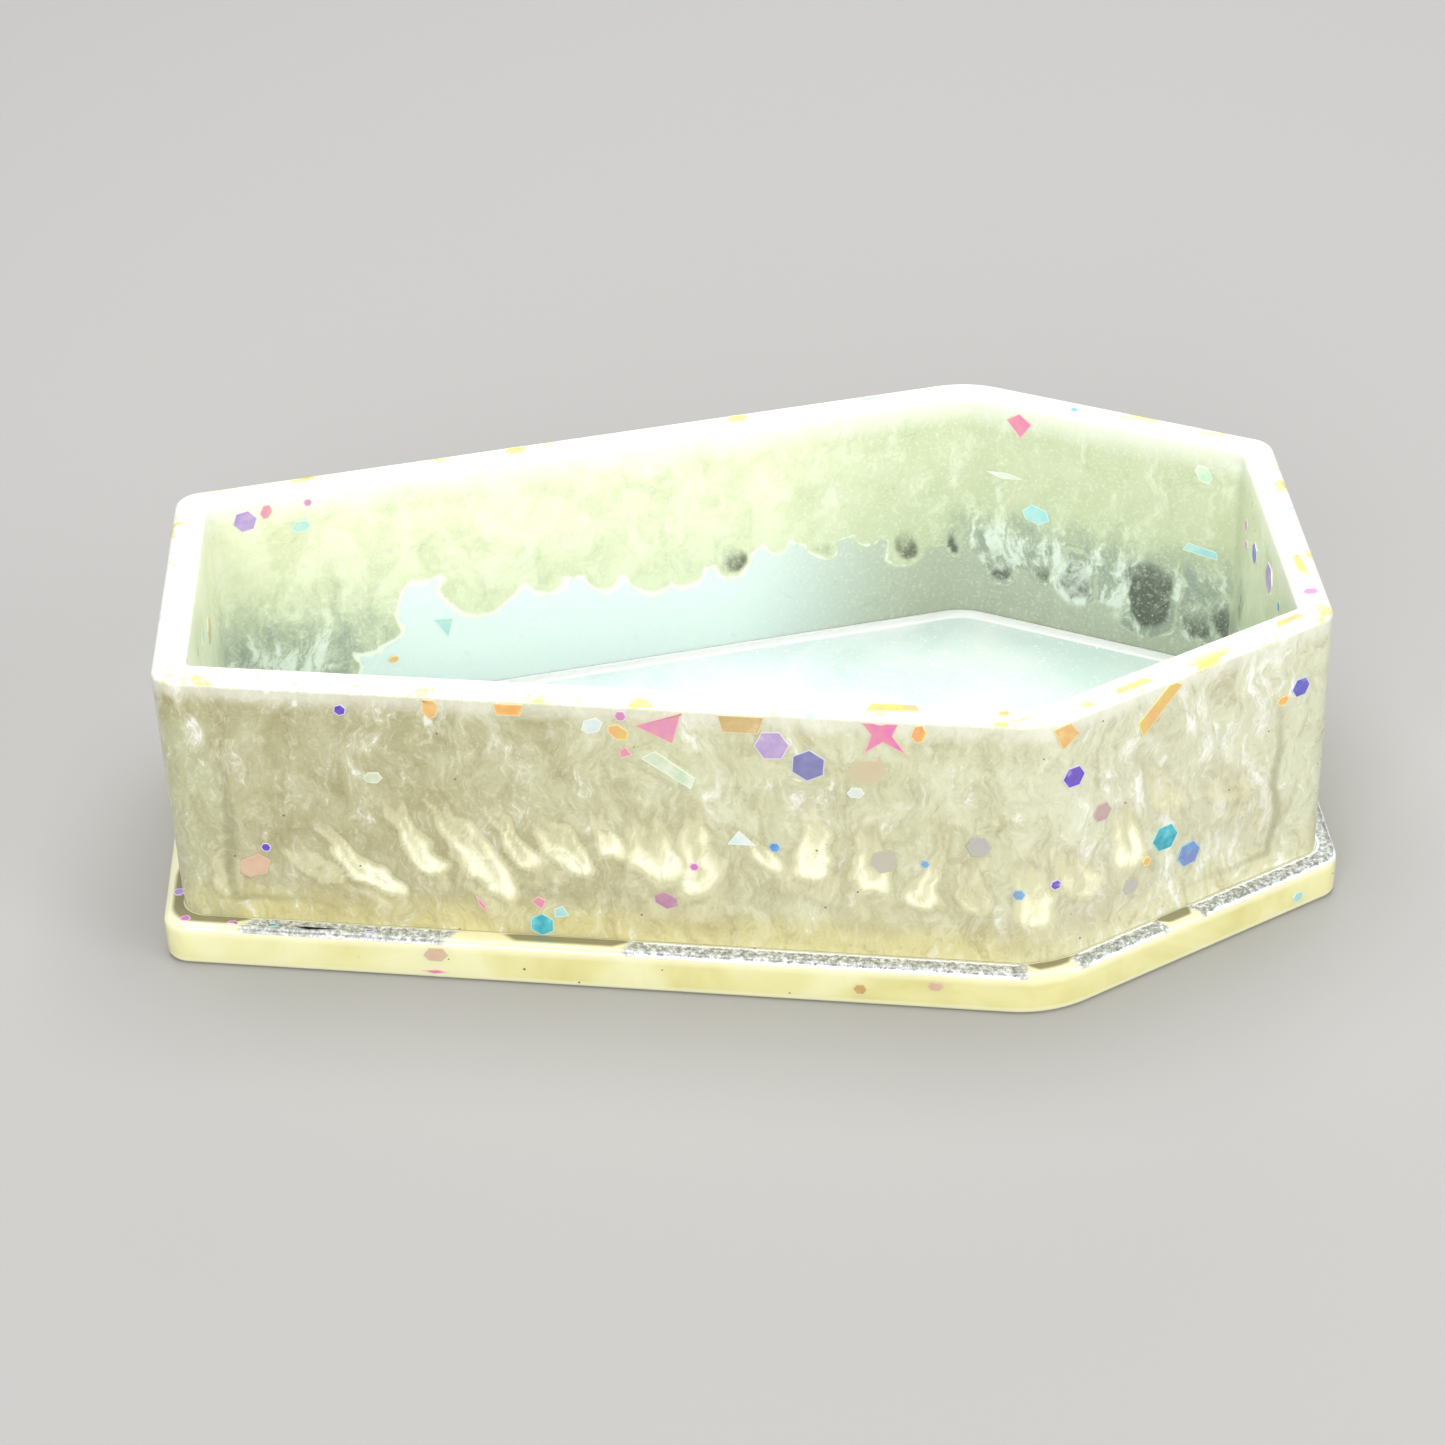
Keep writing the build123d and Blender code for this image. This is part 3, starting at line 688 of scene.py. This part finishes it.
# %% [markdown]
# ### The rim and the shader
# The rim is nearly white, with yellow and blue patches from film that lies under it, and its
# outer edge is a little ragged. Light goes a millimetre into the resin, and a thin coat
# over a softer base gives it the sharp shine of a cast face.

# %% Pearl resin


def pearl_resin():
    """Outside or inside colour by the mesh's own mark, painted light that whitens the inside
    towards the rim, then the rim.
    """
    material, tree = new_material("pearl_mica_resin")
    mica = stirred_mica(tree)
    walls = {0: mica["inside"], 6: outside_colour(tree, mica), 7: inside_colour(tree, mica)}
    colour = add(tree, "Mix", walls, data_type="RGBA")
    ragged = add(tree, "Math", {0: mica["grain"], 1: 1.5 * MM, 2: mica["height"]}, operation="MULTIPLY_ADD")
    patches = add(tree, "ValToRGB", {0: mica["clouds"]}, [(0.38, "#E4CF74"), (0.44, "#F0EFE2"),
                                                          (0.58, "#F1F3F0"), (0.66, "#B4DCE6")])
    # Painted light: the inside of the wall whitens over its top few millimetres, towards the rim.
    rim_top_light = add(tree, "MapRange", {0: mica["height"], 1: 29.5 * MM, 2: 33 * MM, 4: 0.8})
    rim_top_light = add(tree, "Math", {0: mica["inside"], 1: rim_top_light}, operation="MULTIPLY")
    colour = paint(tree, colour, [(ragged, 33.35 * MM, 33.75 * MM, 0.95, patches.outputs[0]),
                                  (mica["height"], 32.7 * MM, 33.15 * MM, 0.9, patches.outputs[0])])
    colour = add(tree, "Mix", {0: rim_top_light, 6: colour, 7: linear("#FEFFF4")}, data_type="RGBA")
    gloss = add(tree, "MapRange", {0: mica["clouds"], 3: 0.2, 4: 0.4})
    bump = add(tree, "Bump", {"Height": mica["clouds"], "Strength": 0.2, "Distance": 0.1 * MM})
    shader = add(tree, "BsdfPrincipled", {
        "Base Color": colour, "Roughness": gloss, "IOR": 1.52, "Normal": bump, "Subsurface Weight": 0.15,
        "Subsurface Radius": (1.0, 0.95, 0.75), "Subsurface Scale": 1.0 * MM,
        "Coat Weight": 0.35, "Coat Roughness": 0.08,
    })
    add(tree, "OutputMaterial", {0: shader})
    return material


pearl = pearl_resin()
for piece in (rim, swirl):
    piece.data.materials.append(pearl)

# %% [markdown]
# ## Pale floor resin
# The floor is a thin pour that levelled itself while the box stood upside down, so it is smooth,
# milky and a little blue, with fine bubbles. It keeps its CAD shape. The curve where it climbs
# the walls catches the light as one white line.

# %% Floor finish
# Sizes in mm: of the milky patches and the dust, the distance between bubbles and the floor's height.
MILK_PATCH, DUST, BUBBLES, FLOOR_TOP = 14.0, 0.5, 2.1, 4.7


def floor_resin():
    """Milky patches, greener towards the head, with dust, bubbles and a painted highlight along the cove.
    """
    material, tree = new_material("milky_floor_resin")
    place = add(tree, "TexCoord").outputs["Object"]
    parts = add(tree, "SeparateXYZ", {0: place})
    large = {"Vector": place, "Scale": 1 / (MILK_PATCH * MM), "Detail": 5.0, "Distortion": 0.6}
    patches = add(tree, "TexNoise", large)
    grain = add(tree, "TexNoise", {"Vector": place, "Scale": 1 / (DUST * MM), "Detail": 3.0})
    bubbles = add(tree, "TexVoronoi", {"Vector": place, "Scale": 1 / (BUBBLES * MM)})
    milk = add(tree, "ValToRGB", {0: patches}, [(0.36, "#D5E7E5"), (0.5, "#E2EFEE"), (0.64, "#EEF5F4")])
    colour = paint(tree, milk, [
        (parts.outputs["X"], 12 * MM, 50 * MM, 0.5, "#CCE4DA"),
        (grain, 0.58, 0.7, 0.5, "#FFFFFF"),
        (bubbles, 0.1, 0.06, 0.8, "#FFFFFF"),
        # Painted highlight: the cove where the floor climbs the walls is painted white.
        (parts.outputs["Z"], (FLOOR_TOP + 0.03) * MM, (FLOOR_TOP + 0.15) * MM, 1.0, "#FFFFFF"),
    ])
    bump = add(tree, "Bump", {"Height": grain, "Strength": 0.15, "Distance": 0.05 * MM})
    shader = add(tree, "BsdfPrincipled", {
        "Base Color": colour, "Roughness": 0.3, "IOR": 1.52, "Normal": bump, "Subsurface Weight": 0.2,
        "Subsurface Radius": (1.0, 1.0, 1.0), "Subsurface Scale": 1.5 * MM,
        "Coat Weight": 0.3, "Coat Roughness": 0.08,
    })
    add(tree, "OutputMaterial", {0: shader})
    return material


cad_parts["floor_pour"].data.materials.clear()
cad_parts["floor_pour"].data.materials.append(floor_resin())

# %% [markdown]
# ## Clear amber resin
# Epoxy without mica yellows as it ages. The slab is clear amber with a few pinholes left by
# bubbles at the foot. Light goes deep into it, which subsurface scattering shows more cheaply
# than true refraction.

# %% Plinth finish
AMBER_PATCH, SCUFF, PITS = 12.0, 0.5, 2.6       # patches, scuffs and the distance between pits, in mm


def amber_resin():
    """Amber patches and painted light bands on the side; on the step, painted dark reflections
    where it is clear, scuffed silver stretches with a painted sheen, and their painted white highlight
    lines.
    """
    material, tree = new_material("clear_amber_resin")
    place = add(tree, "TexCoord").outputs["Object"]
    height = add(tree, "SeparateXYZ", {0: place}).outputs["Z"]
    names = ("silver", "dark", "out")
    silver, dark, out = (add(tree, "Attribute", attribute_name=name).outputs["Fac"] for name in names)
    large = {"Vector": place, "Scale": 1 / (AMBER_PATCH * MM), "Detail": 6.0, "Distortion": 0.8}
    patches = add(tree, "TexNoise", large)
    small = {"Vector": place, "Scale": 1 / (SCUFF * MM), "Detail": 4.0, "Roughness": 0.75}
    glitter = add(tree, "TexNoise", small)
    holes = add(tree, "TexVoronoi", {"Vector": place, "Scale": 1 / (PITS * MM)})
    amber = add(tree, "ValToRGB", {0: patches}, [(0.35, "#E0D890"), (0.5, "#EBE6A6"), (0.65, "#F3F1C0")])
    scuffed_sheen_colours = add(tree, "ValToRGB", {0: glitter}, [(0.36, "#73756F"), (0.5, "#A6AAA7"), (0.62, "#E4E9EA")])
    # On the step, scuffed silver with a painted sheen shows where the field beats the grain, and both its
    # edges get painted white highlight lines.
    shown = add(tree, "MapRange", {0: height, 1: 4.2 * MM, 2: 4.4 * MM})
    scuff_and_sheen = add(tree, "Math", {0: glitter, 1: 0.9, 2: silver}, operation="MULTIPLY_ADD")
    scuff_and_sheen = add(tree, "Math", {0: scuff_and_sheen, 1: shown}, operation="MULTIPLY")
    # Painted dark reflection: the clear stretches of the step are painted dark, most near the wall.
    clear = add(tree, "Math", {0: dark, 1: shown}, operation="MULTIPLY")
    edge_highlight = add(tree, "Math", {0: out, 1: 1.1}, operation="SUBTRACT")
    edge_highlight = add(tree, "Math", {0: edge_highlight}, operation="ABSOLUTE")
    edge_highlight = add(tree, "Math", {0: glitter, 1: 0.6, 2: edge_highlight}, operation="MULTIPLY_ADD")
    edge_highlight = add(tree, "Math", {0: edge_highlight, 1: shown}, operation="MULTIPLY")
    edge_highlight = add(tree, "Math", {0: edge_highlight, 1: silver}, operation="MULTIPLY")
    narrow = add(tree, "Math", {0: out, 1: -0.5, 2: clear}, operation="MULTIPLY_ADD")
    colour = paint(tree, amber, [
        # Painted light: a pale band round the foot's edge stands for light reflected inside the slab, and a
        # pale line under the top edge is a painted highlight.
        (height, 1.0 * MM, 0.6 * MM, 0.8, "#F6F4C8"),
        (height, 3.4 * MM, 4.0 * MM, 0.5, "#F8F6DA"),
        (holes, 0.07, 0.045, 0.85, "#5A4A22"),
        # The step: painted dark reflection, scuffed silver with a painted sheen, painted highlight lines.
        (narrow, 0.2, 0.5, 0.85, "#6F683F"),
        (scuff_and_sheen, 0.85, 1.1, 0.95, scuffed_sheen_colours.outputs[0]),
        (edge_highlight, 0.95, 1.1, 0.95, "#FFFFFF"),
    ])
    bump = add(tree, "Bump", {"Height": glitter, "Strength": 0.2, "Distance": 0.08 * MM})
    shader = add(tree, "BsdfPrincipled", {
        "Base Color": colour, "Roughness": 0.18, "IOR": 1.52, "Normal": bump, "Subsurface Weight": 0.3,
        "Subsurface Radius": (1.0, 0.9, 0.5), "Subsurface Scale": 2 * MM,
        "Coat Weight": 0.5, "Coat Roughness": 0.05,
    })
    add(tree, "OutputMaterial", {0: shader})
    return material


plinth.data.materials.append(amber_resin())

# %% [markdown]
# ## Film flakes
# The flakes are punched and cut from thin iridescent film. A flake's colour drifts across it,
# and its cut edge shows as a pale line. Each kind is one CAD node; its copy gets a narrow
# border of faces, so that the material can tell edge from middle.

# %% Flake pieces
# Main colour of each kind, the colour it drifts to, its edge's colour, and how sunk it may be.
FILMS = {
    "lilac_hexes": ("#A98AD6", "#C8A6E6", "#F1EBF8"),
    "indigo_hexes": ("#4F4DB0", "#6A6CC8", "#E6E8F6"),
    "violet_hexes": ("#5A34BC", "#7458C8", "#EDE8F6", 0.05),
    "teal_hexes": ("#0FA0B8", "#62CED6", "#C9EFEC", 0.1),
    "blue_hexes": ("#5B76D0", "#58A8DC", "#BFD6EE"),
    "silver_hexes": ("#BEB8BA", "#AEB0BE", "#C8C4B4", 0.5),
    "mauve_hexes": ("#BC7CA0", "#C09AAC", "#D2C0B4", 0.4),
    "magenta_hexes": ("#DC7CCC", "#CE6CA8", "#F4D8EA"),
    "coral_chips": ("#E0C3A4", "#E0B49C", "#DCCDAC", 0.75),
    "pink_shards": ("#EE92A4", "#E878C0", "#F4D0C4"),
    "orange_shards": ("#F2AE5C", "#F6C878", "#F6E2B0"),
    "amber_shards": ("#CDA562", "#DDBC78", "#EEE2BC"),
    "yellow_shards": ("#EFCB4A", "#F4A878", "#F8EDB0"),
    "mint_shards": ("#C8EBC8", "#F4FBEA", "#F4F8E4", 0.5),
    "opal_shards": ("#EEF4EC", "#D6ECF2", "#F6FAF0"),
    "cyan_shards": ("#9CDDE8", "#BCE6E0", "#DFF6F2"),
}
BORDER = 0.2                # width of a flake's pale edge, in mm
SHEEN_PATCH, SUNK_PATCH = 1.5, 20.0     # how fast a film's colour and its depth change, in mm
FLAKE_THICKNESS = 0.25      # a face with two edges of this length is one of a flake's thin sides


def flake_mesh(node):
    """A copy of a node's mesh with its triangles merged and a border inset round every flat."""
    mesh = bpy.data.meshes.new(node.name + "_cut")
    made = bmesh.new()
    made.from_mesh(node.data)
    bmesh.ops.remove_doubles(made, verts=made.verts, dist=0.001 * MM)
    bmesh.ops.dissolve_limit(made, angle_limit=math.radians(0.5), verts=made.verts, edges=made.edges)
    thick = {edge for edge in made.edges if abs(edge.calc_length() - FLAKE_THICKNESS * MM) < 0.02 * MM}
    flats = [face for face in made.faces if len(thick.intersection(face.edges)) < 2]
    bmesh.ops.inset_region(
        made, faces=flats, thickness=BORDER * MM, use_boundary=True, use_even_offset=True
    )
    inner = {vertex for face in flats for vertex in face.verts}
    values = [vertex not in inner for vertex in made.verts]
    bmesh.ops.triangulate(made, faces=made.faces)
    made.to_mesh(mesh)
    made.free()
    mesh.attributes.new("edge", "FLOAT", "POINT").data.foreach_set("value", np.array(values, "f"))
    return mesh


def film(name, main, drift, edge, depth=0.25):
    """Iridescent film: glossy, a little metallic, from one colour to another across a flake.
    Where it is sunk in the resin, up to depth of its colour is the resin's."""
    material, tree = new_material(name + "_film")
    place = add(tree, "TexCoord").outputs["Object"]
    cut = add(tree, "Attribute", attribute_name="edge").outputs["Fac"]
    sheen = {"Vector": place, "Scale": 1 / (SHEEN_PATCH * MM), "Detail": 4.0, "Roughness": 0.6}
    noise = add(tree, "TexNoise", sheen)
    colour = add(tree, "ValToRGB", {0: noise}, [(0.38, main), (0.64, drift)])
    sunk = add(tree, "TexNoise", {"Vector": place, "Scale": 1 / (SUNK_PATCH * MM), "Detail": 0.0})
    colour = paint(tree, colour, [(noise, 0.6, 0.75, 0.4, edge), (sunk, 0.4, 0.6, depth, "#CFCBA2"),
                                  (cut, 0.3, 0.8, 0.9, edge)])
    bump = add(tree, "Bump", {"Height": noise, "Strength": 0.3, "Distance": 0.05 * MM})
    shader = add(tree, "BsdfPrincipled", {
        "Base Color": colour, "Roughness": 0.32, "Metallic": 0.15, "Normal": bump,
        "Coat Weight": 0.6, "Coat Roughness": 0.06,
    })
    add(tree, "OutputMaterial", {0: shader})
    return material


for name, colours in FILMS.items():
    flakes = bpy.data.objects.new(name + "_cut", flake_mesh(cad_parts[name]))
    bpy.context.collection.objects.link(flakes)
    flakes.data.materials.append(film(name, *colours))
    stand_for(flakes, name)
print("kinds of flake:", len(FILMS))
